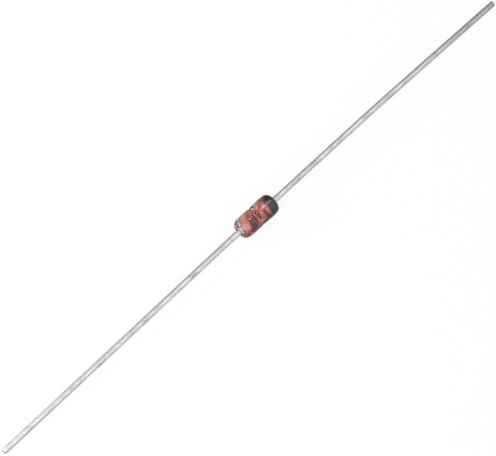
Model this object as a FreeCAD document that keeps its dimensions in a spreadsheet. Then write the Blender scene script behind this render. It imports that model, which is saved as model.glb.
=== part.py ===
import FreeCAD, Part
import math
import os

import Sketcher

# Axial glass zener diode, lying as it rests on a table: +X points to the cathode, the end with the
# dark band, +Z is up, and the origin is on the table straight below the middle of the glass.
# A glass sleeve is sealed onto two plugs of copper-clad nickel-iron wire, with a silicon chip and
# its contact button clamped between them. A tinned lead is butt-welded to each plug's outer end.

# Driving dimensions in millimetres. Each alias is a word that the expressions below use.
DIMENSIONS = {
    "glass_length": 4.0,
    "glass_diameter": 1.85,
    "shoulder_radius": 0.5,
    "neck_depth": 0.035,
    "neck_radius": 1.4,
    "bulge_offset": 0.85,
    "mouth_diameter": 0.7,
    "mouth_depth": 0.06,
    "plug_diameter": 1.1,
    "plug_recess": 0.38,
    "plug_chamfer": 0.04,
    "core_diameter": 0.98,
    "cavity_diameter": 1.0,
    "chip_width": 0.42,
    "chip_thickness": 0.15,
    "chip_bevel": 0.02,
    "button_diameter": 0.26,
    "button_height": 0.07,
    "button_round": 0.045,
    "weld_length": 0.28,
    "weld_diameter": 0.62,
    "weld_crest": 0.1,
    "lead_diameter": 0.5,
    "lead_length": 26.85,
    "lead_chamfer": 0.05,
    "anode_straight": 1.2,
    "anode_bend_radius": 45.0,
    "cathode_droop": 17.3,
    "cathode_bend_radius": 125.0,
    "band_inset": 0.2,
    "band_width": 0.8,
    "band_thickness": 0.015,
}

# Expressions for the lengths that follow from the driving dimensions.
GAP = "(Dimensions.chip_thickness + Dimensions.button_height)"
GLASS_END = "Dimensions.glass_length / 2"
PLUG_OUTER = f"({GLASS_END} - Dimensions.plug_recess)"
WELD_OUTER = f"({PLUG_OUTER} + Dimensions.weld_length)"
LEAD_TIP = f"({GLASS_END} + Dimensions.lead_length)"
AXIS_HEIGHT = "(Dimensions.glass_diameter / 2 + Dimensions.band_thickness)"
LEAD_DROP = f"({AXIS_HEIGHT} - Dimensions.lead_diameter / 2)"

# Each end's pieces are drawn towards +X, and these turns about Z point them to their own side.
CATHODE_SIDE = 0
ANODE_SIDE = 180

# The sketcher's numbers for the points of a line or arc, and for a sketch's own axes.
START, END, CENTRE = range(1, 4)
HORIZONTAL_AXIS, VERTICAL_AXIS = -1, -2
ORIGIN = (HORIZONTAL_AXIS, START)


def make_sheet(doc):
    """The spreadsheet that holds the driving dimensions, one named cell each."""
    sheet = doc.addObject("Spreadsheet::Sheet", "Dimensions")
    for row, (alias, value) in enumerate(DIMENSIONS.items(), start=1):
        sheet.set(f"A{row}", alias)
        sheet.set(f"B{row}", str(value))
        sheet.setAlias(f"B{row}", alias)
    doc.recompute()
    return sheet


def new_body(doc, label, side=CATHODE_SIDE):
    """A body drawn about the diode's axis, lifted to the axis and turned to its side."""
    body = doc.addObject("PartDesign::Body", label)
    body.Label = label
    turn = FreeCAD.Rotation(FreeCAD.Vector(0, 0, 1), side)
    body.Placement = FreeCAD.Placement(FreeCAD.Vector(0, 0, 0), turn)
    body.setExpression("Placement.Base.z", AXIS_HEIGHT)
    return body


def origin_plane(body, role):
    return next(item for item in body.Origin.OriginFeatures if item.Role == role)


def new_sketch(body, name, plane_role):
    sketch = body.newObject("Sketcher::SketchObject", name)
    sketch.AttachmentSupport = (origin_plane(body, plane_role), [""])
    sketch.MapMode = "FlatFace"
    return sketch


def constrain(sketch, *rule):
    return sketch.addConstraint(Sketcher.Constraint(*rule))


def drive(sketch, name, expression, *rule):
    """Adds a named dimension to a sketch and binds it to an expression of the sheet."""
    index = constrain(sketch, *rule)
    sketch.renameConstraint(index, name)
    sketch.setExpression(f"Constraints.{name}", expression)


def add_line(sketch, start, end):
    first = FreeCAD.Vector(*start, 0)
    second = FreeCAD.Vector(*end, 0)
    return sketch.addGeometry(Part.LineSegment(first, second), False)


def add_arc(sketch, centre, radius, start_angle, end_angle):
    """An arc that runs anticlockwise between two angles in degrees."""
    circle = Part.Circle(FreeCAD.Vector(*centre, 0), FreeCAD.Vector(0, 0, 1), radius)
    arc = Part.ArcOfCircle(circle, math.radians(start_angle), math.radians(end_angle))
    return sketch.addGeometry(arc, False)


def add_circle(sketch, alias):
    """A full circle about the diode's axis, with the diameter that the sheet gives that alias."""
    diameter = DIMENSIONS[alias]
    circle = Part.Circle(FreeCAD.Vector(0, 0, 0), FreeCAD.Vector(0, 0, 1), diameter / 2)
    ring = sketch.addGeometry(circle, False)
    constrain(sketch, "Coincident", ring, CENTRE, *ORIGIN)
    drive(sketch, alias, f"Dimensions.{alias}", "Diameter", ring, diameter)


def revolve(body, sketch, name):
    """Turns a half section a full turn about the diode's axis."""
    feature = body.newObject("PartDesign::Revolution", name)
    feature.Profile = sketch
    feature.ReferenceAxis = (sketch, ["H_Axis"])
    feature.Angle = 360
    return feature


def round_edges_at(feature, axial_place, alias):
    """Names of the feature's round edges with that diameter and their centre at that place."""
    names = []
    for index, edge in enumerate(feature.Shape.Edges, start=1):
        if not isinstance(edge.Curve, Part.Circle):
            continue
        off_place = abs(edge.Curve.Center.x - axial_place)
        off_size = abs(2 * edge.Curve.Radius - DIMENSIONS[alias])
        if max(off_place, off_size) < 1e-4:
            names.append(f"Edge{index}")
    return names


def draw_sleeve_half(sketch):
    """Half section of the fused sleeve: a neck over the chip, a slight bulge round the plug,
    a fire-rounded shoulder and a shallow funnel where the lead comes out."""
    half = DIMENSIONS["glass_length"] / 2
    radius = DIMENSIONS["glass_diameter"] / 2
    depth = DIMENSIONS["neck_depth"]
    neck = DIMENSIONS["neck_radius"]
    shoulder = DIMENSIONS["shoulder_radius"]
    offset = DIMENSIONS["bulge_offset"]
    mouth = DIMENSIONS["mouth_diameter"] / 2
    lead = DIMENSIONS["lead_diameter"] / 2
    floor = half - DIMENSIONS["mouth_depth"]
    # First guesses close to the solved outline, so that the constraints settle on this form.
    bulge = (offset**2 + depth**2) / (2 * depth) - neck
    bulge_centre = (offset, radius - bulge)
    lean = math.degrees(math.asin(offset / (neck + bulge)))
    shoulder_x = half - shoulder
    fall = math.degrees(math.asin((shoulder_x - offset) / (bulge - shoulder)))
    shoulder_y = bulge_centre[1] + (bulge - shoulder) * math.cos(math.radians(fall))
    neck_centre = (0, radius - depth + neck)

    neck_arc = add_arc(sketch, neck_centre, neck, 270, 270 + lean)
    bulge_arc = add_arc(sketch, bulge_centre, bulge, 90 - fall, 90 + lean)
    shoulder_arc = add_arc(sketch, (shoulder_x, shoulder_y), shoulder, 0, 90 - fall)
    face = add_line(sketch, (half, shoulder_y), (half, mouth))
    funnel = add_line(sketch, (half, mouth), (floor, lead))
    bottom = add_line(sketch, (floor, lead), (floor, 0))
    axis = add_line(sketch, (floor, 0), (0, 0))
    middle = add_line(sketch, (0, 0), (0, radius - depth))

    constrain(sketch, "Tangent", neck_arc, END, bulge_arc, END)
    constrain(sketch, "Tangent", bulge_arc, START, shoulder_arc, END)
    constrain(sketch, "Tangent", shoulder_arc, START, face, START)
    constrain(sketch, "Coincident", face, END, funnel, START)
    constrain(sketch, "Coincident", funnel, END, bottom, START)
    constrain(sketch, "Coincident", bottom, END, axis, START)
    constrain(sketch, "Coincident", axis, END, middle, START)
    constrain(sketch, "Coincident", middle, END, neck_arc, START)
    constrain(sketch, "Coincident", axis, END, *ORIGIN)
    constrain(sketch, "Horizontal", axis)
    constrain(sketch, "Vertical", middle)
    constrain(sketch, "Vertical", face)
    constrain(sketch, "Vertical", bottom)
    constrain(sketch, "PointOnObject", neck_arc, CENTRE, VERTICAL_AXIS)

    drive(sketch, "half_length", GLASS_END, "DistanceX", *ORIGIN, face, START, half)
    mouth_radius = "Dimensions.mouth_diameter / 2"
    drive(sketch, "mouth_radius", mouth_radius, "DistanceY", *ORIGIN, face, END, mouth)
    mouth_depth = "Dimensions.mouth_depth"
    drive(sketch, "mouth_depth", mouth_depth, "DistanceX", bottom, START, face, END, half - floor)
    lead_radius = "Dimensions.lead_diameter / 2"
    drive(sketch, "lead_radius", lead_radius, "DistanceY", bottom, END, bottom, START, lead)
    neck_height = "Dimensions.glass_diameter / 2 - Dimensions.neck_depth"
    drive(sketch, "neck_height", neck_height, "DistanceY", middle, START, middle, END, radius - depth)
    drive(sketch, "neck_radius", "Dimensions.neck_radius", "Radius", neck_arc, neck)
    drive(sketch, "shoulder_radius", "Dimensions.shoulder_radius", "Radius", shoulder_arc, shoulder)
    along = "Dimensions.bulge_offset"
    drive(sketch, "bulge_offset", along, "DistanceX", *ORIGIN, bulge_arc, CENTRE, offset)
    # With this radius the bulge's highest point gives the sleeve its full diameter.
    bulge_radius = (
        "(Dimensions.bulge_offset^2 + Dimensions.neck_depth^2)"
        " / (2 * Dimensions.neck_depth) - Dimensions.neck_radius"
    )
    drive(sketch, "bulge_radius", bulge_radius, "Radius", bulge_arc, bulge)


def make_sleeve_blank(doc):
    """The sleeve's outer form, solid, before the metal inside is taken out of it."""
    body = new_body(doc, "sleeve_blank")
    sketch = new_sketch(body, "sleeve_half_section", "XZ_Plane")
    draw_sleeve_half(sketch)
    half = revolve(body, sketch, "sleeve_half")
    doc.recompute()
    mirror = body.newObject("PartDesign::Mirrored", "sleeve_both_halves")
    mirror.Originals = [half]
    mirror.MirrorPlane = (origin_plane(body, "YZ_Plane"), [""])
    body.Tip = mirror
    doc.recompute()
    return body


def pad_plug_wire(doc, label, side, *circles):
    """A cut of the plug's wire, from the gap to the weld, with the named circles as its section."""
    body = new_body(doc, label, side)
    sketch = new_sketch(body, f"{label}_section", "YZ_Plane")
    sketch.setExpression("AttachmentOffset.Base.z", f"{GAP} / 2")
    for alias in circles:
        add_circle(sketch, alias)
    pad = body.newObject("PartDesign::Pad", f"{label}_length")
    pad.Profile = sketch
    pad.setExpression("Length", f"{PLUG_OUTER} - {GAP} / 2")
    doc.recompute()
    return body, pad


def make_core(doc, label, side):
    """The nickel-iron core of a plug, bare at both of its cut faces."""
    body, _ = pad_plug_wire(doc, label, side, "core_diameter")
    return body


def make_plug(doc, label, side):
    """The copper cladding round a plug's core, with both outer edges broken."""
    body, pad = pad_plug_wire(doc, label, side, "plug_diameter", "core_diameter")
    inner = (DIMENSIONS["chip_thickness"] + DIMENSIONS["button_height"]) / 2
    outer = DIMENSIONS["glass_length"] / 2 - DIMENSIONS["plug_recess"]
    edges = []
    for place in (inner, outer):
        edges += round_edges_at(pad, place, "plug_diameter")
    chamfer = body.newObject("PartDesign::Chamfer", f"{label}_broken_edges")
    chamfer.Base = (pad, edges)
    chamfer.setExpression("Size", "Dimensions.plug_chamfer")
    doc.recompute()
    return body


def make_cavity(doc):
    """The gas-filled space that the necked sleeve leaves round the chip."""
    cavity = doc.addObject("Part::Cylinder", "chip_cavity")
    cavity.Placement.Rotation = FreeCAD.Rotation(FreeCAD.Vector(0, 1, 0), 90)
    cavity.setExpression("Radius", "Dimensions.cavity_diameter / 2")
    cavity.setExpression("Height", GAP)
    cavity.setExpression("Placement.Base.x", f"-{GAP} / 2")
    cavity.setExpression("Placement.Base.z", AXIS_HEIGHT)
    return cavity


def make_weld(doc, label, side):
    """The bead of fused metal between a plug and its lead, highest close to the plug."""
    body = new_body(doc, label, side)
    sketch = new_sketch(body, f"{label}_half_section", "XZ_Plane")
    sketch.setExpression("AttachmentOffset.Base.x", PLUG_OUTER)
    length = DIMENSIONS["weld_length"]
    crest = DIMENSIONS["weld_crest"]
    top = DIMENSIONS["weld_diameter"] / 2
    lead = DIMENSIONS["lead_diameter"] / 2
    step = top - lead
    radius = ((length - crest) ** 2 + step**2) / (2 * step)
    plug_angle = 180 - math.degrees(math.acos(crest / radius))
    lead_angle = math.degrees(math.acos((length - crest) / radius))
    plug_edge = top - radius + radius * math.sin(math.radians(plug_angle))

    bead = add_arc(sketch, (crest, top - radius), radius, lead_angle, plug_angle)
    plug_face = add_line(sketch, (0, plug_edge), (0, 0))
    axis = add_line(sketch, (0, 0), (length, 0))
    lead_face = add_line(sketch, (length, 0), (length, lead))
    constrain(sketch, "Coincident", bead, END, plug_face, START)
    constrain(sketch, "Coincident", plug_face, END, axis, START)
    constrain(sketch, "Coincident", axis, END, lead_face, START)
    constrain(sketch, "Coincident", lead_face, END, bead, START)
    constrain(sketch, "Coincident", axis, START, *ORIGIN)
    constrain(sketch, "Vertical", plug_face)
    constrain(sketch, "Horizontal", axis)
    constrain(sketch, "Vertical", lead_face)

    drive(sketch, "weld_length", "Dimensions.weld_length", "DistanceX", axis, START, axis, END, length)
    lead_radius = "Dimensions.lead_diameter / 2"
    drive(sketch, "lead_radius", lead_radius, "DistanceY", lead_face, START, lead_face, END, lead)
    drive(sketch, "weld_crest", "Dimensions.weld_crest", "DistanceX", *ORIGIN, bead, CENTRE, crest)
    # With this radius the bead's crest has the weld's full diameter.
    bead_radius = (
        "((Dimensions.weld_length - Dimensions.weld_crest)^2"
        " + (Dimensions.weld_diameter / 2 - Dimensions.lead_diameter / 2)^2)"
        " / (Dimensions.weld_diameter - Dimensions.lead_diameter)"
    )
    drive(sketch, "bead_radius", bead_radius, "Radius", bead, radius)
    revolve(body, sketch, f"{label}_bead")
    doc.recompute()
    return body


def draw_lead_path(path, bend_start, bend_place, bend_name):
    """Centre line of a lead: out of the glass, one long bend, then straight down to the table.
    The bend starts at bend_start, which the expression bend_place gives again."""
    glass_end = DIMENSIONS["glass_length"] / 2
    inner = glass_end - DIMENSIONS["plug_recess"] + DIMENSIONS["weld_length"]
    tip = glass_end + DIMENSIONS["lead_length"]
    axis_height = DIMENSIONS["glass_diameter"] / 2 + DIMENSIONS["band_thickness"]
    drop = axis_height - DIMENSIONS["lead_diameter"] / 2
    bend = DIMENSIONS[bend_name]
    # The slope at which a bend of this radius, begun here, brings the tip down to the table.
    reach = tip - bend_start
    slope = math.atan2(reach, bend - drop) - math.acos(bend / math.hypot(reach, bend - drop))
    bend_end = (bend_start + bend * math.sin(slope), bend * (math.cos(slope) - 1))

    first = add_line(path, (inner, 0), (bend_start, 0))
    turn = add_arc(path, (bend_start, -bend), bend, 90 - math.degrees(slope), 90)
    last = add_line(path, bend_end, (tip, -drop))
    constrain(path, "PointOnObject", first, START, HORIZONTAL_AXIS)
    constrain(path, "Horizontal", first)
    constrain(path, "Tangent", first, END, turn, END)
    constrain(path, "Tangent", turn, START, last, START)

    drive(path, "inner_end", WELD_OUTER, "DistanceX", *ORIGIN, first, START, inner)
    drive(path, "bend_start", bend_place, "DistanceX", *ORIGIN, first, END, bend_start)
    drive(path, "bend_radius", f"Dimensions.{bend_name}", "Radius", turn, bend)
    drive(path, "tip_reach", LEAD_TIP, "DistanceX", *ORIGIN, last, END, tip)
    drive(path, "tip_drop", LEAD_DROP, "DistanceY", last, END, *ORIGIN, drop)
    return tip


def make_lead(doc, label, side, bend_start, bend_place, bend_name):
    """A round tinned lead, swept along its centre line, with the edge of its cut end broken."""
    body = new_body(doc, label, side)
    path = new_sketch(body, f"{label}_path", "XZ_Plane")
    tip = draw_lead_path(path, bend_start, bend_place, bend_name)
    section = new_sketch(body, f"{label}_section", "YZ_Plane")
    section.setExpression("AttachmentOffset.Base.z", WELD_OUTER)
    add_circle(section, "lead_diameter")
    doc.recompute()
    sweep = body.newObject("PartDesign::AdditivePipe", f"{label}_drawn")
    sweep.Profile = section
    sweep.Spine = (path, ["Edge1", "Edge2", "Edge3"])
    doc.recompute()
    cut_end = body.newObject("PartDesign::Chamfer", f"{label}_cut_end")
    cut_end.Base = (sweep, round_edges_at(sweep, tip, "lead_diameter"))
    cut_end.setExpression("Size", "Dimensions.lead_chamfer")
    doc.recompute()
    return body


def make_leads(doc):
    """The anode lead is bent close to the glass, and the cathode lead only droops towards its tip."""
    glass_end = DIMENSIONS["glass_length"] / 2
    anode_bend = glass_end + DIMENSIONS["anode_straight"]
    anode_place = f"{GLASS_END} + Dimensions.anode_straight"
    cathode_bend = glass_end + DIMENSIONS["lead_length"] - DIMENSIONS["cathode_droop"]
    cathode_place = f"{LEAD_TIP} - Dimensions.cathode_droop"
    return [
        make_lead(doc, "anode_lead", ANODE_SIDE, anode_bend, anode_place, "anode_bend_radius"),
        make_lead(doc, "cathode_lead", CATHODE_SIDE, cathode_bend, cathode_place, "cathode_bend_radius"),
    ]


def make_chip(doc):
    """The sawn silicon chip, its back on the cathode plug and its front rim bevelled."""
    body = new_body(doc, "zener_chip")
    sketch = new_sketch(body, "chip_square", "YZ_Plane")
    sketch.setExpression("AttachmentOffset.Base.z", f"{GAP} / 2 - Dimensions.chip_thickness")
    width = DIMENSIONS["chip_width"]
    reach = width / 2
    corners = [(-reach, -reach), (reach, -reach), (reach, reach), (-reach, reach)]
    next_corners = corners[1:] + corners[:1]
    sides = [add_line(sketch, *ends) for ends in zip(corners, next_corners)]
    for line, next_line in zip(sides, sides[1:] + sides[:1]):
        constrain(sketch, "Coincident", line, END, next_line, START)
    for line, direction in zip(sides, ["Horizontal", "Vertical"] * 2):
        constrain(sketch, direction, line)
    constrain(sketch, "Symmetric", sides[0], START, sides[2], START, *ORIGIN)
    constrain(sketch, "Equal", sides[0], sides[1])
    across = (sides[0], START, sides[0], END)
    drive(sketch, "chip_width", "Dimensions.chip_width", "DistanceX", *across, width)
    pad = body.newObject("PartDesign::Pad", "chip_slab")
    pad.Profile = sketch
    pad.setExpression("Length", "Dimensions.chip_thickness")
    doc.recompute()
    middle = pad.Shape.BoundBox.Center.x
    front_rim = []
    for index, edge in enumerate(pad.Shape.Edges, start=1):
        if edge.BoundBox.XMax < middle:
            front_rim.append(f"Edge{index}")
    bevel = body.newObject("PartDesign::Chamfer", "chip_bevelled_rim")
    bevel.Base = (pad, front_rim)
    bevel.setExpression("Size", "Dimensions.chip_bevel")
    doc.recompute()
    return body


def make_button(doc):
    """The plated silver button on the chip's front, rounded where it presses on the anode plug."""
    body = new_body(doc, "contact_button")
    sketch = new_sketch(body, "button_circle", "YZ_Plane")
    sketch.setExpression("AttachmentOffset.Base.z", f"-{GAP} / 2")
    add_circle(sketch, "button_diameter")
    pad = body.newObject("PartDesign::Pad", "button_disc")
    pad.Profile = sketch
    pad.setExpression("Length", "Dimensions.button_height")
    doc.recompute()
    pressed_face = -(DIMENSIONS["chip_thickness"] + DIMENSIONS["button_height"]) / 2
    dome = body.newObject("PartDesign::Fillet", "button_dome")
    dome.Base = (pad, round_edges_at(pad, pressed_face, "button_diameter"))
    dome.setExpression("Radius", "Dimensions.button_round")
    doc.recompute()
    return body


def make_sleeve(doc, blank, cavity, metal):
    """The glass sleeve: the blank with the sealed metal and the chip's cavity taken out of it."""
    inside = doc.addObject("Part::MultiFuse", "sleeve_inside")
    inside.Shapes = [cavity, *metal]
    sleeve = doc.addObject("Part::Cut", "glass_sleeve")
    sleeve.Label = "glass_sleeve"
    sleeve.Base = blank
    sleeve.Tool = inside
    doc.recompute()
    return sleeve


def make_band(doc, blank):
    """The dark cathode band: a coat of ink that follows the glass over the cathode end."""
    coat = doc.addObject("Part::Offset", "ink_coat")
    coat.Source = blank
    coat.setExpression("Value", "Dimensions.band_thickness")
    stretch = doc.addObject("Part::Cylinder", "band_stretch")
    stretch.Placement.Rotation = FreeCAD.Rotation(FreeCAD.Vector(0, 1, 0), 90)
    stretch.setExpression("Radius", "Dimensions.glass_diameter")
    stretch.setExpression("Height", "Dimensions.band_width")
    band_start = f"{GLASS_END} - Dimensions.band_inset - Dimensions.band_width"
    stretch.setExpression("Placement.Base.x", band_start)
    stretch.setExpression("Placement.Base.z", AXIS_HEIGHT)
    doc.recompute()
    disc = doc.addObject("Part::Common", "band_disc")
    disc.Base = coat
    disc.Tool = stretch
    band = doc.addObject("Part::Cut", "cathode_band")
    band.Label = "cathode_band"
    band.Base = disc
    band.Tool = blank
    doc.recompute()
    return band


def check(doc, pieces):
    """Stops before anything is written if an object failed or a piece has no valid solid."""
    for item in doc.Objects:
        if "Invalid" in item.State or "Error" in item.State:
            raise RuntimeError(f"{item.Label} failed to build: {item.State}")
    for piece in pieces:
        shape = piece.Shape
        if shape.isNull() or not shape.isValid() or not shape.Solids:
            raise RuntimeError(f"{piece.Label} is not a valid solid")


def main():
    doc = FreeCAD.newDocument("zener_diode")
    make_sheet(doc)
    blank = make_sleeve_blank(doc)
    cavity = make_cavity(doc)
    metal = make_leads(doc)
    for end, side in (("anode", ANODE_SIDE), ("cathode", CATHODE_SIDE)):
        metal += [
            make_core(doc, f"{end}_core", side),
            make_plug(doc, f"{end}_plug", side),
            make_weld(doc, f"{end}_weld", side),
        ]
    sleeve = make_sleeve(doc, blank, cavity, metal)
    band = make_band(doc, blank)
    pieces = [sleeve, band, *metal, make_chip(doc), make_button(doc)]
    doc.recompute()
    check(doc, pieces)
    os.makedirs("parts", exist_ok=True)
    for piece in pieces:
        piece.Shape.exportStep(os.path.join("parts", f"{piece.Label}.step"))
        print(f"{piece.Label}: {len(piece.Shape.Solids)} solid, {piece.Shape.Volume:.5f} mm3")


main()
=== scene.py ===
import math

import bmesh
import bpy
from mathutils import Matrix, Vector, noise


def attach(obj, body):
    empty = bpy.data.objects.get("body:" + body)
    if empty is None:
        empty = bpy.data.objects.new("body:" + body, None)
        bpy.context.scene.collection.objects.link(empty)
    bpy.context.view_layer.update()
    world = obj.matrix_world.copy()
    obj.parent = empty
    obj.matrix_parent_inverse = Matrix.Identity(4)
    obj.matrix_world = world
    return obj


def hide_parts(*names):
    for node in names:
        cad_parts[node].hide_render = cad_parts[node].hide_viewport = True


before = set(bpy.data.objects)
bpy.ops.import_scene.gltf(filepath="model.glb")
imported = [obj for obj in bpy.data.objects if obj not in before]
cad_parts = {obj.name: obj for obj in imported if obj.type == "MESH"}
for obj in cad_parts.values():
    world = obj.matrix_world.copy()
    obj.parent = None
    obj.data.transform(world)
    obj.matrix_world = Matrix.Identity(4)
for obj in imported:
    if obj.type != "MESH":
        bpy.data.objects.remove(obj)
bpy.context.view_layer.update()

# An axial glass zener diode: +X is the cathode end and +Z is up. The pieces are drawn in
# millimetres about the diode's axis, then lifted to the axis's height and scaled to metres.
METRES = 0.001

# Sizes in millimetres.
GLASS_LENGTH = 4.0
GLASS_RADIUS = 0.925
SHOULDER_RADIUS = 0.5
NECK_DEPTH = 0.035
NECK_RADIUS = 1.4
BULGE_OFFSET = 0.85
MOUTH_RADIUS = 0.35
MOUTH_DEPTH = 0.06
PLUG_RADIUS = 0.55
PLUG_RECESS = 0.38
PLUG_CHAMFER = 0.04
CORE_RADIUS = 0.49
CAVITY_RADIUS = 0.5
CHIP_WIDTH = 0.42
CHIP_THICKNESS = 0.15
CHIP_BEVEL = 0.02
BUTTON_RADIUS = 0.13
BUTTON_HEIGHT = 0.07
BUTTON_ROUND = 0.045
WELD_LENGTH = 0.28
WELD_RADIUS = 0.31
WELD_CREST = 0.1
LEAD_RADIUS = 0.25
LEAD_LENGTH = 26.85
LEAD_CHAMFER = 0.05
ANODE_STRAIGHT = 1.2
ANODE_BEND_RADIUS = 45.0
CATHODE_DROOP = 17.3
CATHODE_BEND_RADIUS = 125.0
BAND_INSET = 0.2
BAND_WIDTH = 0.8
BAND_THICKNESS = 0.015

GLASS_END = GLASS_LENGTH / 2
HALF_GAP = (CHIP_THICKNESS + BUTTON_HEIGHT) / 2
PLUG_OUTER = GLASS_END - PLUG_RECESS
WELD_OUTER = PLUG_OUTER + WELD_LENGTH
LEAD_TIP = GLASS_END + LEAD_LENGTH
AXIS_HEIGHT = GLASS_RADIUS + BAND_THICKNESS
LEAD_DROP = AXIS_HEIGHT - LEAD_RADIUS

# The glass's outer line: a neck arc, a bulge arc and a shoulder arc, each running into the next.
BULGE_RADIUS = (BULGE_OFFSET**2 + NECK_DEPTH**2) / (2 * NECK_DEPTH) - NECK_RADIUS
SHOULDER_X = GLASS_END - SHOULDER_RADIUS
NECK_LEAN = math.asin(BULGE_OFFSET / (NECK_RADIUS + BULGE_RADIUS))
BULGE_FALL = math.asin((SHOULDER_X - BULGE_OFFSET) / (BULGE_RADIUS - SHOULDER_RADIUS))
NECK_Y = GLASS_RADIUS - NECK_DEPTH + NECK_RADIUS
BULGE_Y = GLASS_RADIUS - BULGE_RADIUS
SHOULDER_Y = BULGE_Y + (BULGE_RADIUS - SHOULDER_RADIUS) * math.cos(BULGE_FALL)

# The weld's bead is one arc from the plug to the lead.
BEAD_STEP = WELD_RADIUS - LEAD_RADIUS
BEAD_RADIUS = ((WELD_LENGTH - WELD_CREST) ** 2 + BEAD_STEP**2) / (2 * BEAD_STEP)
BEAD_Y = WELD_RADIUS - BEAD_RADIUS
BEAD_PLUG_ANGLE = math.asin(WELD_CREST / BEAD_RADIUS)
BEAD_TURN = BEAD_PLUG_ANGLE + math.asin((WELD_LENGTH - WELD_CREST) / BEAD_RADIUS)

# The glass is melted onto the metal, so its bore is drawn this much into the metal, and pieces
# that are stuck on each other share as much.
SEAL_OVERLAP = 0.004

# Fine touches that the solids leave out: the plugs' eased edges, the rim and the step of the
# chip's contact window, the height of lumps on fused or plated metal as a share of the radius,
# and how many lumps fit in 1 mm.
PLUG_EASE = 0.008
CHIP_RIM = 0.03
WINDOW_STEP = 0.006
WINDOW_DEPTH = 0.003
LUMP_HEIGHT = 0.03
WELD_LUMPS = 7
BUTTON_LUMPS = 25

# A lead's cut end is rounded in two steps, each a share of the chamfer and a narrowing, and shows
# its layers from the rim inwards, each with its thickness and how deep the blade dented it.
LEAD_END_STEPS = [(0.4, 0.96), (0.6, 0.86)]
CUT_END_LAYERS = [(0.008, 0.0), (0.028, 0.004), (0.03, 0.012)]

# The ink's edges waver by this much, with this many turns in 1 mm.
BAND_WAVER = 0.02
BAND_WAVER_TURNS = 3.0
PRINT_WAVER = 0.012
PRINT_WAVER_TURNS = 7.0

# Plain printed bars on the glass. Each is a start and a width along the axis, then a start and a
# reach round the glass in degrees, from the top towards -Y.
PRINT_BARS = [
    (-1.13, 0.25, 6, 62),
    (-0.84, 0.17, -5, 32),
    (-0.62, 0.2, -4, 48),
    (0.44, 0.2, 18, 42),
]
PRINT_THICKNESS = 0.006

# How finely round forms are cut, in steps for a full turn or for one arc, how close two points
# are to count as one or as on a cut, and how far an edge turns to count as sharp.
ROUND_STEPS = 128
THIN_ROUND_STEPS = 64
NECK_STEPS = 16
BULGE_STEPS = 28
SHOULDER_STEPS = 28
BORE_BEAD_STEPS = 20
BEAD_STEPS = 24
BUTTON_ROUND_STEPS = 8
LEAD_BEND_STEPS = 12
PRINT_STEPS = 24
MERGE_DISTANCE = 1e-5
CUT_DISTANCE = 1e-6
SHARP_TURN = math.radians(35)


def linear(hex_colour):
    """sRGB hex to the linear colour that shaders take."""
    channels = [int(hex_colour[i : i + 2], 16) / 255 for i in (1, 3, 5)]
    return [c / 12.92 if c <= 0.04045 else ((c + 0.055) / 1.055) ** 2.4 for c in channels] + [1.0]


def add(owner, kind, inputs=None, stops=None, **settings):
    """Adds a node: inputs are values or other nodes' sockets, stops are a ramp's hex colours."""
    tree = owner.node_tree
    made = tree.nodes.new(kind)
    for name, value in settings.items():
        setattr(made, name, value)
    for name, value in (inputs or {}).items():
        if isinstance(value, bpy.types.NodeSocket):
            tree.links.new(value, made.inputs[name])
        else:
            made.inputs[name].default_value = value
    for index, (place, colour) in enumerate(stops or []):
        points = made.color_ramp.elements
        point = points[index] if index < 2 else points.new(place)
        point.position = place
        point.color = linear(colour)
    return made


def new_material(name):
    """An empty material, and the place on the piece in millimetres from the glass's middle. A
    noise's scale is therefore how many of its marks fit in a millimetre."""
    material = bpy.data.materials.new(name)
    material.use_nodes = True
    material.node_tree.nodes.clear()
    place = add(material, "ShaderNodeTexCoord")
    in_mm = add(material, "ShaderNodeMapping", {
        "Vector": place.outputs["Object"],
        "Scale": (1 / METRES,) * 3,
        "Location": (0, 0, -AXIS_HEIGHT),
    })
    return material, in_mm.outputs["Vector"]


def coat(material, inputs):
    """Gives a material its surface shader, with these inputs."""
    shader = add(material, "ShaderNodeBsdfPrincipled", inputs)
    add(material, "ShaderNodeOutputMaterial", {"Surface": shader.outputs["BSDF"]})
    return material


# The fold in the glass: where it starts, is deepest and ends along the axis, how far it leans
# towards the anode for each millimetre to either side, and its depth beside the ripple's height.
FOLD_START = 0.02
FOLD_DEEPEST = 0.26
FOLD_END = 0.5
FOLD_LEAN = 0.45
FOLD_DEPTH = 1.1


def fused_glass():
    """Lead glass tube, melted down onto the plugs: clear, faintly grey, with a slow ripple half
    a millimetre long, and with a low fold that slants over the gap, where the softened tube
    sank in."""
    material, place = new_material("fused_lead_glass")
    ripple = add(material, "ShaderNodeTexNoise", {"Vector": place, "Scale": 1.9, "Detail": 1.0})
    spot = add(material, "ShaderNodeSeparateXYZ", {"Vector": place})
    sideways = add(material, "ShaderNodeMath", {0: spot.outputs["Y"]}, operation="ABSOLUTE")
    slanted = add(material, "ShaderNodeMath", {
        0: sideways.outputs["Value"], 1: FOLD_LEAN, 2: spot.outputs["X"],
    }, operation="MULTIPLY_ADD")
    fold = add(material, "ShaderNodeValToRGB", {"Fac": slanted.outputs["Value"]}, stops=[
        (FOLD_START, "#000000"), (FOLD_END, "#000000"), (FOLD_DEEPEST, "#FFFFFF"),
    ])
    fold.color_ramp.interpolation = "EASE"
    relief = add(material, "ShaderNodeMath", {
        0: fold.outputs["Color"], 1: -FOLD_DEPTH, 2: ripple.outputs["Fac"],
    }, operation="MULTIPLY_ADD")
    bump = add(material, "ShaderNodeBump", {
        "Height": relief.outputs["Value"], "Strength": 1.0, "Distance": 0.04 * METRES,
    })
    return coat(material, {
        "Base Color": linear("#F2F0F0"),
        "Roughness": 0.015,
        "IOR": 1.54,
        "Transmission Weight": 1.0,
        "Normal": bump.outputs["Normal"],
    })


# The side towards which the copper is painted lighter, a painted light from above and +Y, and how
# much that counts beside the oxide's patches.
PAINTED_LIGHT_SIDE = (0, 0.8, 0.6)
PAINTED_LIGHT_SHARE = 0.2


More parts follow.
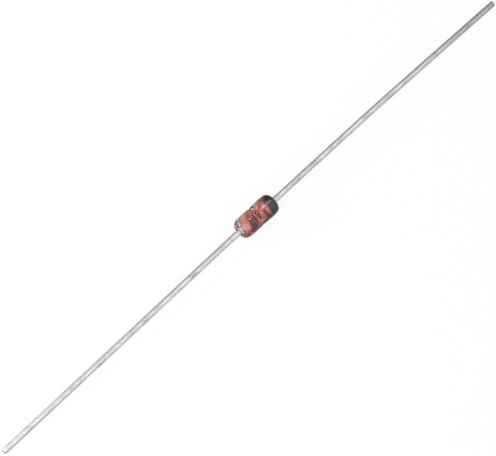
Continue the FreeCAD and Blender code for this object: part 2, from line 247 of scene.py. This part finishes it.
def oxidised_copper():
    """Copper cladding under its red oxide, as the glass seals to it: brick red to salmon, in
    patches of 0.6 mm where the furnace left the oxide thick or thin, with painted light and shade:
    painted lighter above and towards +Y and darker below and towards -Y. The weld's heat has turned
    its outer end lilac grey, and as that tint builds on the painted light it comes on sooner above
    and towards +Y. The drawing die's lines along the wire are drawn 0.04 mm apart, coarser than the
    real ones, so that they show."""
    material, place = new_material("oxidised_copper_cladding")
    mottle = add(material, "ShaderNodeTexNoise", {
        "Vector": place, "Scale": 1.6, "Detail": 2.5, "Roughness": 0.45, "Distortion": 0.8,
    })
    # Painted light and shade: the copper is painted lighter above and towards +Y and darker below
    # and towards -Y, added to the oxide's patches.
    lit_side = add(material, "ShaderNodeVectorMath", {
        0: place, 1: PAINTED_LIGHT_SIDE,
    }, operation="DOT_PRODUCT")
    oxide = add(material, "ShaderNodeMath", {
        0: lit_side.outputs["Value"], 1: PAINTED_LIGHT_SHARE, 2: mottle.outputs["Fac"],
    }, operation="MULTIPLY_ADD")
    red = add(material, "ShaderNodeValToRGB", {"Fac": oxide.outputs["Value"]}, stops=[
        (0.34, "#74403B"), (0.7, "#FFC8BD"), (0.45, "#EC625B"), (0.58, "#FF9186"),
    ])
    spot = add(material, "ShaderNodeSeparateXYZ", {"Vector": place})
    outward = add(material, "ShaderNodeMath", {0: spot.outputs["X"]}, operation="ABSOLUTE")
    # The heat tint at the outer ends builds on that painted light, so it comes on sooner above and
    # towards +Y.
    heat = add(material, "ShaderNodeMath", {
        0: oxide.outputs["Value"], 1: outward.outputs["Value"],
    }, operation="ADD")
    scorched = add(material, "ShaderNodeMapRange", {
        "Value": heat.outputs["Value"], "From Min": 1.95, "From Max": 2.25, "To Max": 0.85,
    }, interpolation_type="SMOOTHSTEP")
    colour = add(material, "ShaderNodeMix", {
        "Factor": scorched.outputs["Result"],
        "A": red.outputs["Color"],
        "B": linear("#B9AEB4"),
    }, data_type="RGBA")
    along = add(material, "ShaderNodeMapping", {"Vector": place, "Scale": (0.5, 8.0, 8.0)})
    lines = add(material, "ShaderNodeTexNoise", {
        "Vector": along.outputs["Vector"], "Scale": 3.0, "Detail": 3.0,
    })
    rough = add(material, "ShaderNodeMapRange", {
        "Value": lines.outputs["Fac"], "To Min": 0.3, "To Max": 0.6,
    })
    bump = add(material, "ShaderNodeBump", {
        "Height": lines.outputs["Fac"], "Strength": 0.6, "Distance": 0.02 * METRES,
    })
    return coat(material, {
        "Base Color": colour.outputs["Result"],
        "Metallic": 0.2,
        "Roughness": rough.outputs["Result"],
        "Normal": bump.outputs["Normal"],
    })


def cut_alloy():
    """Nickel-iron core wire, sheared off: dull grey, with the cladding's copper smeared over it.
    The blade's drag marks are drawn 0.1 mm apart, coarser than the real ones, so that they show.
    The leads' steel cores, sheared in the same way, look the same."""
    material, place = new_material("sheared_nickel_iron")
    across = add(material, "ShaderNodeMapping", {"Vector": place, "Scale": (9.0, 9.0, 1.5)})
    drag = add(material, "ShaderNodeTexNoise", {
        "Vector": across.outputs["Vector"], "Scale": 1.0, "Detail": 2.0,
    })
    colour = add(material, "ShaderNodeValToRGB", {"Fac": drag.outputs["Fac"]}, stops=[
        (0.34, "#8C736D"), (0.68, "#CF9488"), (0.48, "#AD8A82"),
    ])
    bump = add(material, "ShaderNodeBump", {
        "Height": drag.outputs["Fac"], "Strength": 0.3, "Distance": 0.015 * METRES,
    })
    return coat(material, {
        "Base Color": colour.outputs["Color"],
        "Metallic": 0.4,
        "Roughness": 0.5,
        "Normal": bump.outputs["Normal"],
    })


def bare_copper():
    """The copper skin under the tin, bright only where the lead was cut. Its grain is drawn at
    0.04 mm, coarser than the real one."""
    material, place = new_material("cut_copper_skin")
    grain = add(material, "ShaderNodeTexNoise", {"Vector": place, "Scale": 25.0, "Detail": 2.0})
    colour = add(material, "ShaderNodeValToRGB", {"Fac": grain.outputs["Fac"]}, stops=[
        (0.3, "#A86A52"), (0.7, "#CC8C70"),
    ])
    return coat(material, {
        "Base Color": colour.outputs["Color"],
        "Metallic": 1.0,
        "Roughness": 0.35,
    })


def tin_plate():
    """Tin, plated on copper-clad steel wire: pale grey and satin, brighter in patches of 0.4 by
    0.9 mm where it has flowed, and darker between them. The wire's fine lines are drawn 0.07 mm
    apart, coarser than the real ones, so that they show."""
    material, place = new_material("satin_tin_plate")
    stretch = add(material, "ShaderNodeMapping", {"Vector": place, "Scale": (0.45, 1.0, 1.0)})
    patches = add(material, "ShaderNodeTexNoise", {
        "Vector": stretch.outputs["Vector"], "Scale": 2.4, "Detail": 6.0, "Roughness": 0.65,
    })
    colour = add(material, "ShaderNodeValToRGB", {"Fac": patches.outputs["Fac"]}, stops=[
        (0.3, "#AEABAF"), (0.62, "#DDDADE"), (0.42, "#CAC7CB"),
    ])
    rough = add(material, "ShaderNodeMapRange", {
        "Value": patches.outputs["Fac"], "From Min": 0.35, "From Max": 0.65,
        "To Min": 0.64, "To Max": 0.52,
    })
    drawn = add(material, "ShaderNodeMapping", {"Vector": place, "Scale": (0.4, 14.0, 14.0)})
    lines = add(material, "ShaderNodeTexNoise", {
        "Vector": drawn.outputs["Vector"], "Scale": 1.0, "Detail": 4.0,
    })
    relief = add(material, "ShaderNodeMath", {
        0: lines.outputs["Fac"], 1: patches.outputs["Fac"],
    }, operation="ADD")
    bump = add(material, "ShaderNodeBump", {
        "Height": relief.outputs["Value"], "Strength": 0.5, "Distance": 0.015 * METRES,
    })
    return coat(material, {
        "Base Color": colour.outputs["Color"],
        "Metallic": 1.0,
        "Roughness": rough.outputs["Result"],
        "Normal": bump.outputs["Normal"],
    })


def fused_weld():
    """The bead of the butt weld, melted and set under the glass: frosted, whiter than the lead,
    with lumps a quarter of a millimetre long."""
    material, place = new_material("frosted_weld_metal")
    frost = add(material, "ShaderNodeTexNoise", {"Vector": place, "Scale": 4.0, "Detail": 2.0})
    colour = add(material, "ShaderNodeValToRGB", {"Fac": frost.outputs["Fac"]}, stops=[
        (0.32, "#E6DFDC"), (0.66, "#FFFFFF"),
    ])
    bump = add(material, "ShaderNodeBump", {
        "Height": frost.outputs["Fac"], "Strength": 0.6, "Distance": 0.03 * METRES,
    })
    return coat(material, {
        "Base Color": colour.outputs["Color"],
        "Roughness": 0.45,
        "Normal": bump.outputs["Normal"],
    })


# How far the edge of the thin, browner ink leans towards the cathode for each millimetre towards
# +Y, a painted light that makes the band lighter and browner on its +Y side, and how far the ink's
# clouds push it.
PAINTED_LIGHT_LEAN = 0.3
THIN_INK_CLOUDING = 0.6


def fired_ink():
    """Ink rolled on as a band and fired: black-brown with the copper's warmth where the coat is
    thin over the plug, and blue-grey elsewhere, in clouds of 0.3 mm, with the lighter warm brown
    painted further over the band towards +Y as a painted light on that side. The roller's streaks
    along the glass are drawn 0.06 mm apart, coarser than the real ones, so that they show."""
    material, place = new_material("fired_band_ink")
    spot = add(material, "ShaderNodeSeparateXYZ", {"Vector": place})
    # Painted light: the lighter, warmer ink reaches further towards the cathode on the +Y side.
    painted_leaning = add(material, "ShaderNodeMath", {
        0: spot.outputs["Y"], 1: -PAINTED_LIGHT_LEAN, 2: spot.outputs["X"],
    }, operation="MULTIPLY_ADD")
    cloud = add(material, "ShaderNodeTexNoise", {"Vector": place, "Scale": 3.5, "Detail": 5.0})
    spread = add(material, "ShaderNodeMath", {
        0: cloud.outputs["Fac"], 1: THIN_INK_CLOUDING, 2: painted_leaning.outputs["Value"],
    }, operation="MULTIPLY_ADD")
    cover_and_painted_light = add(material, "ShaderNodeMapRange", {
        "Value": spread.outputs["Value"], "From Min": 1.2, "From Max": 2.1,
    })
    colour = add(material, "ShaderNodeValToRGB", {"Fac": cover_and_painted_light.outputs["Result"]}, stops=[
        (0.0, "#74504B"), (1.0, "#303339"), (0.4, "#2D2221"),
    ])
    brushed = add(material, "ShaderNodeMapping", {"Vector": place, "Scale": (0.7, 12.0, 12.0)})
    streaks = add(material, "ShaderNodeTexNoise", {
        "Vector": brushed.outputs["Vector"], "Scale": 1.5, "Detail": 3.0,
    })
    bump = add(material, "ShaderNodeBump", {
        "Height": streaks.outputs["Fac"], "Strength": 0.5, "Distance": 0.01 * METRES,
    })
    return coat(material, {
        "Base Color": colour.outputs["Color"],
        "Roughness": 0.22,
        "IOR": 1.55,
        "Normal": bump.outputs["Normal"],
    })


def mark_ink():
    """The same ink as plain printed bars: thin, dark brown and uneven by the tenth of a
    millimetre."""
    material, place = new_material("fired_mark_ink")
    grain = add(material, "ShaderNodeTexNoise", {"Vector": place, "Scale": 9.0, "Detail": 4.0})
    colour = add(material, "ShaderNodeValToRGB", {"Fac": grain.outputs["Fac"]}, stops=[
        (0.3, "#3A130D"), (0.7, "#70352A"),
    ])
    return coat(material, {"Base Color": colour.outputs["Color"], "Roughness": 0.5, "IOR": 1.55})


def etched_silicon():
    """A silicon chip, sawn and etched: dark olive brown with a soft sheen. Its etch pits are
    drawn at 0.06 mm, coarser than the real ones."""
    material, place = new_material("etched_silicon")
    grain = add(material, "ShaderNodeTexNoise", {"Vector": place, "Scale": 16.0, "Detail": 3.0})
    colour = add(material, "ShaderNodeValToRGB", {"Fac": grain.outputs["Fac"]}, stops=[
        (0.3, "#3C2E1A"), (0.7, "#6E5434"),
    ])
    return coat(material, {
        "Base Color": colour.outputs["Color"],
        "Metallic": 0.3,
        "Roughness": 0.4,
    })


def plated_silver():
    """Silver, grown as a button by plating and tarnished to straw by the sealing heat: matt, its
    crystals drawn at 0.03 mm, coarser than the real ones."""
    material, place = new_material("plated_silver")
    grain = add(material, "ShaderNodeTexNoise", {"Vector": place, "Scale": 30.0, "Detail": 3.0})
    colour = add(material, "ShaderNodeValToRGB", {"Fac": grain.outputs["Fac"]}, stops=[
        (0.3, "#9C8468"), (0.7, "#D8C4A6"),
    ])
    bump = add(material, "ShaderNodeBump", {
        "Height": grain.outputs["Fac"], "Strength": 0.5, "Distance": 0.01 * METRES,
    })
    return coat(material, {
        "Base Color": colour.outputs["Color"],
        "Metallic": 1.0,
        "Roughness": 0.42,
        "Normal": bump.outputs["Normal"],
    })


def line_to(bm, vertex, x, radius):
    """Draws a straight side of a half section, to a place along the axis and a radius."""
    end = bmesh.ops.extrude_vert_indiv(bm, verts=[vertex])["verts"][0]
    end.co = (x, 0, radius)
    return end


def arc_to(bm, vertex, centre_x, centre_y, angle, steps):
    """Draws a round side of a half section about a centre. A turn runs clockwise when it is
    positive, seen with +X to the right and the axis below."""
    made = bmesh.ops.spin(
        bm, geom=[vertex], cent=(centre_x, 0, centre_y), axis=(0, 1, 0), angle=angle, steps=steps,
    )
    return made["geom_last"][0]


def turn_round(bm, steps=ROUND_STEPS):
    """Turns the drawn half section once round the diode's axis, and closes it."""
    bmesh.ops.spin(
        bm, geom=bm.verts[:] + bm.edges[:], cent=(0, 0, 0), axis=(1, 0, 0),
        angle=math.tau, steps=steps, use_merge=True,
    )
    bmesh.ops.remove_doubles(bm, verts=bm.verts[:], dist=MERGE_DISTANCE)


def lump_at(point, lumps):
    """How far a lump rises at a point, from 0 to 1."""
    return 0.5 + 0.5 * noise.noise(point.co * lumps)


def widen(point, factor):
    """Moves a point out from the diode's axis."""
    point.co.yz = point.co.yz * factor


def finish_piece(bm, name, slot, nodes, *materials, side="cathode"):
    """Points a drawn piece to its end, lifts it to the axis in metres, and sets it in the frame."""
    if side == "anode":
        bmesh.ops.rotate(bm, matrix=Matrix.Rotation(math.pi, 3, "Z"), verts=bm.verts[:])
    bmesh.ops.recalc_face_normals(bm, faces=bm.faces[:])
    bmesh.ops.translate(bm, vec=(0, 0, AXIS_HEIGHT), verts=bm.verts[:])
    bmesh.ops.scale(bm, vec=(METRES,) * 3, verts=bm.verts[:])
    mesh = bpy.data.meshes.new(name)
    bm.to_mesh(mesh)
    bm.free()
    mesh.shade_smooth()
    mesh.set_sharp_from_angle(angle=SHARP_TURN)
    for material in materials:
        mesh.materials.append(material)
    piece = bpy.data.objects.new(name, mesh)
    bpy.context.scene.collection.objects.link(piece)
    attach(piece, "root")
    if nodes:
        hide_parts(*nodes)


def draw_glass_outline(bm):
    """The glass's outer line on the cathode side, from its waist to its end face."""
    waist = bm.verts.new((0, 0, GLASS_RADIUS - NECK_DEPTH))
    vertex = arc_to(bm, waist, 0, NECK_Y, -NECK_LEAN, NECK_STEPS)
    vertex = arc_to(bm, vertex, BULGE_OFFSET, BULGE_Y, NECK_LEAN + BULGE_FALL, BULGE_STEPS)
    return arc_to(bm, vertex, SHOULDER_X, SHOULDER_Y, math.pi / 2 - BULGE_FALL, SHOULDER_STEPS)


def glass_radius_at(x):
    """The radius of that line at a place along the axis."""
    if abs(x) < NECK_RADIUS * math.sin(NECK_LEAN):
        return NECK_Y - math.sqrt(NECK_RADIUS**2 - x**2)
    if abs(x) < SHOULDER_X + SHOULDER_RADIUS * math.sin(BULGE_FALL):
        return BULGE_Y + math.sqrt(BULGE_RADIUS**2 - (abs(x) - BULGE_OFFSET) ** 2)
    return SHOULDER_Y + math.sqrt(SHOULDER_RADIUS**2 - (abs(x) - SHOULDER_X) ** 2)


def make_glass(material):
    """The sleeve: its outer line, the mouth round the lead, and the bore that grips the metal."""
    bm = bmesh.new()
    vertex = draw_glass_outline(bm)
    bore = LEAD_RADIUS - SEAL_OVERLAP
    vertex = line_to(bm, vertex, GLASS_END, MOUTH_RADIUS)
    vertex = line_to(bm, vertex, GLASS_END - MOUTH_DEPTH, bore)
    vertex = line_to(bm, vertex, WELD_OUTER, bore)
    bead_x = PLUG_OUTER + WELD_CREST
    vertex = arc_to(bm, vertex, bead_x, BEAD_Y - SEAL_OVERLAP, -BEAD_TURN, BORE_BEAD_STEPS)
    vertex = line_to(bm, vertex, PLUG_OUTER - SEAL_OVERLAP, vertex.co.z)
    vertex = line_to(bm, vertex, PLUG_OUTER - SEAL_OVERLAP, PLUG_RADIUS - PLUG_CHAMFER)
    vertex = line_to(bm, vertex, PLUG_OUTER - PLUG_CHAMFER, PLUG_RADIUS - SEAL_OVERLAP)
    vertex = line_to(bm, vertex, HALF_GAP + PLUG_CHAMFER, PLUG_RADIUS - SEAL_OVERLAP)
    vertex = line_to(bm, vertex, HALF_GAP, CAVITY_RADIUS)
    line_to(bm, vertex, 0, CAVITY_RADIUS)
    copy = bmesh.ops.duplicate(bm, geom=bm.verts[:] + bm.edges[:])["geom"]
    anode_half = [item for item in copy if isinstance(item, bmesh.types.BMVert)]
    bmesh.ops.scale(bm, vec=(-1, 1, 1), verts=anode_half)
    bmesh.ops.remove_doubles(bm, verts=bm.verts[:], dist=MERGE_DISTANCE)
    turn_round(bm)
    finish_piece(bm, "glass_sleeve_fused", "glass", ["glass_sleeve"], material)


def make_plug(side, copper, alloy):
    """A plug's cladding with its broken edges, and the core that shows at both cut faces."""
    bm = bmesh.new()
    start = bm.verts.new((HALF_GAP, 0, CORE_RADIUS))
    vertex = line_to(bm, start, HALF_GAP, PLUG_RADIUS - PLUG_CHAMFER)
    vertex = line_to(bm, vertex, HALF_GAP + PLUG_CHAMFER, PLUG_RADIUS)
    vertex = line_to(bm, vertex, PLUG_OUTER - PLUG_CHAMFER, PLUG_RADIUS)
    vertex = line_to(bm, vertex, PLUG_OUTER, PLUG_RADIUS - PLUG_CHAMFER)
    vertex = line_to(bm, vertex, PLUG_OUTER, CORE_RADIUS)
    line_to(bm, vertex, HALF_GAP, CORE_RADIUS)
    turn_round(bm)
    corners = [edge for edge in bm.edges if edge.calc_face_angle(0) > SHARP_TURN]
    bmesh.ops.bevel(
        bm, geom=corners, offset=PLUG_EASE, segments=2, profile=0.5, affect="EDGES", material=-1,
    )
    finish_piece(bm, f"{side}_plug_clad", "plug_copper", [f"{side}_plug"], copper, side=side)

    bm = bmesh.new()
    vertex = bm.verts.new((HALF_GAP, 0, 0))
    vertex = line_to(bm, vertex, HALF_GAP, CORE_RADIUS)
    vertex = line_to(bm, vertex, PLUG_OUTER, CORE_RADIUS)
    line_to(bm, vertex, PLUG_OUTER, 0)
    turn_round(bm)
    finish_piece(bm, f"{side}_core_cut", "core_alloy", [f"{side}_core"], alloy, side=side)


def make_weld(side, material):
    """The bead between plug and lead, lumpy as it set; its lumps only swell into the glass."""
    bm = bmesh.new()
    vertex = bm.verts.new((PLUG_OUTER, 0, 0))
    plug_edge = BEAD_Y + BEAD_RADIUS * math.cos(BEAD_PLUG_ANGLE)
    vertex = line_to(bm, vertex, PLUG_OUTER, plug_edge)
    arc_end = arc_to(bm, vertex, PLUG_OUTER + WELD_CREST, BEAD_Y, BEAD_TURN, BEAD_STEPS)
    line_to(bm, arc_end, WELD_OUTER, 0)
    turn_round(bm)
    for point in bm.verts:
        reach = math.hypot(point.co.y, point.co.z)
        if reach > LEAD_RADIUS + SEAL_OVERLAP:
            height = LUMP_HEIGHT * lump_at(point, WELD_LUMPS)
            widen(point, 1 + height * (reach - LEAD_RADIUS) / BEAD_STEP)
    finish_piece(bm, f"{side}_weld_bead", "weld", [f"{side}_weld"], material, side=side)


def draw_on(bm, ring, run, narrowing=1.0):
    """Pushes a lead's open end on by a run, and narrows it."""
    pushed = bmesh.ops.extrude_edge_only(bm, edges=ring)["geom"]
    points = [item for item in pushed if isinstance(item, bmesh.types.BMVert)]
    bmesh.ops.translate(bm, vec=run, verts=points)
    middle = sum((point.co for point in points), Vector()) / len(points)
    bmesh.ops.scale(bm, vec=(narrowing,) * 3, space=Matrix.Translation(-middle), verts=points)
    return [item for item in pushed if isinstance(item, bmesh.types.BMEdge)]


def make_lead(side, bend_start, bend_radius, tin, copper, steel):
    """A lead, drawn out of the weld, turned through its long bend and run down to the table, with
    its cut end showing the copper skin and the steel core inside the tin."""
    reach = LEAD_TIP - bend_start
    lever = math.hypot(reach, bend_radius - LEAD_DROP)
    slope = math.atan2(reach, bend_radius - LEAD_DROP) - math.acos(bend_radius / lever)
    bm = bmesh.new()
    across = Matrix.Translation((WELD_OUTER, 0, 0)) @ Matrix.Rotation(math.pi / 2, 4, "Y")
    bmesh.ops.create_circle(bm, segments=THIN_ROUND_STEPS, radius=LEAD_RADIUS, matrix=across)
    ring = draw_on(bm, bm.edges[:], Vector((bend_start - WELD_OUTER, 0, 0)))
    bend = bmesh.ops.spin(
        bm, geom=ring, cent=(bend_start, 0, -bend_radius), axis=(0, 1, 0), angle=slope,
        steps=LEAD_BEND_STEPS,
    )
    ring = [item for item in bend["geom_last"] if isinstance(item, bmesh.types.BMEdge)]
    bend_end = Vector((math.sin(slope), 0, math.cos(slope) - 1)) * bend_radius
    last_run = Vector((LEAD_TIP - bend_start, 0, -LEAD_DROP)) - bend_end
    onward = last_run.normalized()
    ring = draw_on(bm, ring, last_run - onward * LEAD_CHAMFER)
    for share, narrowing in LEAD_END_STEPS:
        ring = draw_on(bm, ring, onward * LEAD_CHAMFER * share, narrowing)
    bmesh.ops.holes_fill(bm, edges=[edge for edge in bm.edges if edge.is_boundary])
    cut_face = max(bm.faces, key=lambda face: face.calc_center_median().x)
    metals = (tin, copper, steel)
    for inner, (thickness, dent) in enumerate(CUT_END_LAYERS, start=1):
        bmesh.ops.inset_region(
            bm, faces=[cut_face], thickness=thickness, depth=-dent, use_even_offset=True,
        )
        cut_face.material_index = min(inner, metals.index(steel))
    finish_piece(bm, f"{side}_lead_tinned", "lead_tin", [f"{side}_lead"], *metals, side=side)


def make_chip(material):
    """The chip: a sawn slab, its front rim bevelled and its contact window a shallow step."""
    bm = bmesh.new()
    bmesh.ops.create_cube(bm, size=1)
    bmesh.ops.scale(bm, vec=(CHIP_THICKNESS, CHIP_WIDTH, CHIP_WIDTH), verts=bm.verts[:])
    bmesh.ops.translate(bm, vec=(HALF_GAP - CHIP_THICKNESS / 2, 0, 0), verts=bm.verts[:])
    front = min(bm.faces, key=lambda face: face.calc_center_median().x)
    bmesh.ops.bevel(
        bm, geom=front.edges[:], offset=CHIP_BEVEL, segments=3, profile=0.5, affect="EDGES",
        material=-1,
    )
    front = min(bm.faces, key=lambda face: face.calc_center_median().x)
    bmesh.ops.inset_region(bm, faces=[front], thickness=CHIP_RIM)
    bmesh.ops.inset_region(bm, faces=[front], thickness=WINDOW_STEP, depth=-WINDOW_DEPTH)
    finish_piece(bm, "zener_chip_etched", "silicon", ["zener_chip"], material)


def make_button(material):
    """The plated button on the chip, domed where it presses on the anode plug, and knobbly."""
    bm = bmesh.new()
    vertex = bm.verts.new((-HALF_GAP, 0, 0))
    vertex = line_to(bm, vertex, -HALF_GAP, BUTTON_RADIUS - BUTTON_ROUND)
    corner_x = -HALF_GAP + BUTTON_ROUND
    corner_y = BUTTON_RADIUS - BUTTON_ROUND
    vertex = arc_to(bm, vertex, corner_x, corner_y, math.pi / 2, BUTTON_ROUND_STEPS)
    vertex = line_to(bm, vertex, -HALF_GAP + BUTTON_HEIGHT + SEAL_OVERLAP, BUTTON_RADIUS)
    line_to(bm, vertex, -HALF_GAP + BUTTON_HEIGHT + SEAL_OVERLAP, 0)
    turn_round(bm, THIN_ROUND_STEPS)
    for point in bm.verts:
        widen(point, 1 - LUMP_HEIGHT * lump_at(point, BUTTON_LUMPS))
    finish_piece(bm, "contact_button_plated", "button_silver", ["contact_button"], material)


def cut_outline(bm, start, end):
    """Keeps the stretch of the drawn outline between two places along the axis. No step is left
    shorter than an edge wavers, which would fold the ink over."""
    for x, past_end in ((start, False), (end, True)):
        bmesh.ops.bisect_plane(
            bm, geom=bm.verts[:] + bm.edges[:], plane_co=(x, 0, 0), plane_no=(1, 0, 0),
            dist=CUT_DISTANCE, clear_outer=past_end, clear_inner=not past_end,
        )
    bmesh.ops.remove_doubles(bm, verts=bm.verts[:], dist=BAND_WAVER)


def lay_ink(bm, thickness, waver, turns):
    """Turns a patch of the glass's surface into a coat of ink with slightly wavering edges."""
    for point in [v for v in bm.verts if v.is_boundary]:
        # Twice the place along the axis, so that close edges waver in their own ways.
        waver_place = Vector((point.co.x * 2, *point.co.yz)) * turns
        x = point.co.x + waver * noise.noise(waver_place)
        radius = math.hypot(point.co.y, point.co.z)
        widen(point, glass_radius_at(x) / radius)
        point.co.x = x
    bmesh.ops.recalc_face_normals(bm, faces=bm.faces[:])
    outward = sum(face.normal.dot(Vector((0, *face.calc_center_median().yz))) for face in bm.faces)
    if outward < 0:
        bmesh.ops.reverse_faces(bm, faces=bm.faces[:])
    for point in bm.verts:
        widen(point, 1 - SEAL_OVERLAP / GLASS_RADIUS)
    bmesh.ops.solidify(bm, geom=bm.faces[:], thickness=-(thickness + SEAL_OVERLAP))


def make_band(material):
    """The cathode band: a coat of ink over the cathode's bulge and shoulder."""
    bm = bmesh.new()
    draw_glass_outline(bm)
    cut_outline(bm, GLASS_END - BAND_INSET - BAND_WIDTH, GLASS_END - BAND_INSET)
    turn_round(bm)
    lay_ink(bm, BAND_THICKNESS, BAND_WAVER, BAND_WAVER_TURNS)
    finish_piece(bm, "cathode_band_ink", "band_ink", ["cathode_band"], material)


def make_print(material):
    """The print, as plain bars wrapped part of the way round the glass."""
    for number, (start, width, turned, reach) in enumerate(PRINT_BARS, start=1):
        bm = bmesh.new()
        draw_glass_outline(bm)
        if start < 0:
            bmesh.ops.scale(bm, vec=(-1, 1, 1), verts=bm.verts[:])
        cut_outline(bm, start, start + width)
        turn = Matrix.Rotation(math.radians(turned), 3, "X")
        bmesh.ops.rotate(bm, matrix=turn, verts=bm.verts[:])
        bmesh.ops.spin(
            bm, geom=bm.verts[:] + bm.edges[:], cent=(0, 0, 0), axis=(1, 0, 0),
            angle=math.radians(reach), steps=PRINT_STEPS,
        )
        lay_ink(bm, PRINT_THICKNESS, PRINT_WAVER, PRINT_WAVER_TURNS)
        finish_piece(bm, f"print_bar_{number}", "band_ink", [], material)


# The stage, in metres. As the diode mirrors it, the table's colour is a painted pool of light, pale
# and faintly warm up to the first distance and dim grey from the second, and the room is brightest
# in one direction of its ceiling.
FLOOR_REACH = 2.0
PAINTED_POOL_NEAR = 0.002
PAINTED_POOL_FAR = 0.06
CEILING_GLOW = (-0.25, -0.68, 0.69)
CEILING_LIGHT = 1.33
WALL_LIGHT = 0.18

# The camera sees the floor mostly by its own glow, and a room as pale.
FLOOR_LIGHT = 0.99
FLOOR_GLOW_SHARE = 0.9
BACKDROP_LIGHT = 0.97

# The key lamp stands where the glass mirrors it to the camera as a streak along its front, the
# fill lamp reaches into the anode's dome, and the window lamp lights the copper from +Y, away
# from where the leads mirror to the camera. Each has a name, a direction, a width and its watts.
LAMP_DISTANCE = 0.13
SOFT_LAMPS = [
    ("soft_key", (0.36, 0.09, 0.93), 0.048, 0.024),
    ("soft_fill", (-0.9, -0.1, 0.45), 0.08, 0.04),
    ("soft_window", (-0.72, 0.63, 0.3), 0.08, 0.11),
]


def set_stage():
    """The floor and the room: the camera sees them plain and pale, and the diode reflects a
    bright ceiling, dim walls and a table with a painted pool of light close by, faintly warm as a
    painted bounce from the copper."""
    bm = bmesh.new()
    bmesh.ops.create_grid(bm, x_segments=1, y_segments=1, size=FLOOR_REACH)
    mesh = bpy.data.meshes.new("floor")
    bm.to_mesh(mesh)
    bm.free()
    floor = bpy.data.objects.new("floor", mesh)
    bpy.context.scene.collection.objects.link(floor)
    paper = bpy.data.materials.new("pale_paper")
    paper.use_nodes = True
    paper.node_tree.nodes.clear()
    place = add(paper, "ShaderNodeTexCoord")
    distance = add(paper, "ShaderNodeVectorMath", {0: place.outputs["Object"]}, operation="LENGTH")
    away = add(paper, "ShaderNodeMapRange", {
        "Value": distance.outputs["Value"], "From Min": PAINTED_POOL_NEAR, "From Max": PAINTED_POOL_FAR,
    })
    # Painted pool of light: the table's colour is pale and warm near the diode, a painted bounce
    # from the copper, and dim grey far off.
    table = add(paper, "ShaderNodeValToRGB", {"Fac": away.outputs["Result"]}, stops=[
        (0.0, "#CAC6C5"), (1.0, "#595959"),
    ])
    lit = add(paper, "ShaderNodeBsdfDiffuse", {"Color": table.outputs["Color"]})
    white = add(paper, "ShaderNodeBsdfDiffuse", {"Color": linear("#F2F2F2")})
    glow = add(paper, "ShaderNodeEmission", {"Color": linear("#FFFFFF"), "Strength": FLOOR_LIGHT})
    seen = add(paper, "ShaderNodeMixShader", {
        0: FLOOR_GLOW_SHARE, 1: white.outputs[0], 2: glow.outputs[0],
    })
    ray = add(paper, "ShaderNodeLightPath")
    both = add(paper, "ShaderNodeMixShader", {
        0: ray.outputs["Is Camera Ray"], 1: lit.outputs[0], 2: seen.outputs[0],
    })
    add(paper, "ShaderNodeOutputMaterial", {"Surface": both.outputs[0]})
    mesh.materials.append(paper)

    world = bpy.data.worlds.new("studio_room")
    world.use_nodes = True
    world.node_tree.nodes.clear()
    bpy.context.scene.world = world
    looking = add(world, "ShaderNodeTexCoord")
    towards = add(world, "ShaderNodeVectorMath", {
        0: looking.outputs["Generated"], 1: CEILING_GLOW,
    }, operation="DOT_PRODUCT")
    ceiling = add(world, "ShaderNodeMapRange", {
        "Value": towards.outputs["Value"], "From Min": 0.0, "From Max": 0.95,
        "To Min": WALL_LIGHT, "To Max": CEILING_LIGHT,
    }, interpolation_type="SMOOTHSTEP")
    ray = add(world, "ShaderNodeLightPath")
    strength = add(world, "ShaderNodeMix", {
        "Factor": ray.outputs["Is Camera Ray"],
        "A": ceiling.outputs["Result"],
        "B": BACKDROP_LIGHT,
    })
    background = add(world, "ShaderNodeBackground", {
        "Color": linear("#FFFFFF"), "Strength": strength.outputs["Result"],
    })
    add(world, "ShaderNodeOutputWorld", {"Surface": background.outputs["Background"]})

    for name, direction, width, watts in SOFT_LAMPS:
        disk = bpy.data.lights.new(name, "AREA")
        disk.shape = "DISK"
        disk.size = width
        disk.energy = watts
        lamp = bpy.data.objects.new(name, disk)
        lamp.location = Vector(direction).normalized() * LAMP_DISTANCE
        lamp.rotation_euler = (-lamp.location).to_track_quat("-Z", "Y").to_euler()
        lamp.visible_camera = False
        bpy.context.scene.collection.objects.link(lamp)


# The camera's lens in millimetres and its place: its heading and elevation in degrees, and its
# distance and aim in metres. They follow from the line of both leads in the photograph.
CAMERA_HEADING = 45.83
CAMERA_ELEVATION = 62.93
CAMERA_DISTANCE = 0.2857
CAMERA_LENS = 253.4
CAMERA_AIM = (-0.00125, -0.00025, 0.00094)


def place_camera():
    """Looks down on the diode at the photograph's angle."""
    data = bpy.data.cameras.new("camera")
    data.lens = CAMERA_LENS
    data.clip_start = 0.01
    camera = bpy.data.objects.new("camera", data)
    heading = math.radians(-CAMERA_HEADING)
    tilt = math.radians(CAMERA_ELEVATION)
    forward = Vector((0, math.cos(tilt), -math.sin(tilt)))
    forward.rotate(Matrix.Rotation(heading, 3, "Z"))
    camera.location = Vector(CAMERA_AIM) - forward * CAMERA_DISTANCE
    camera.rotation_euler = (math.pi / 2 - tilt, 0, heading)
    bpy.context.scene.collection.objects.link(camera)
    bpy.context.scene.camera = camera


place_camera()
set_stage()
bpy.context.scene.view_settings.view_transform = "Standard"

make_glass(fused_glass())
copper = oxidised_copper()
alloy = cut_alloy()
weld = fused_weld()
for end in ("anode", "cathode"):
    make_plug(end, copper, alloy)
    make_weld(end, weld)
lead_metals = (tin_plate(), bare_copper(), alloy)
make_lead("anode", GLASS_END + ANODE_STRAIGHT, ANODE_BEND_RADIUS, *lead_metals)
make_lead("cathode", LEAD_TIP - CATHODE_DROOP, CATHODE_BEND_RADIUS, *lead_metals)
make_chip(etched_silicon())
make_button(plated_silver())
make_band(fired_ink())
make_print(mark_ink())
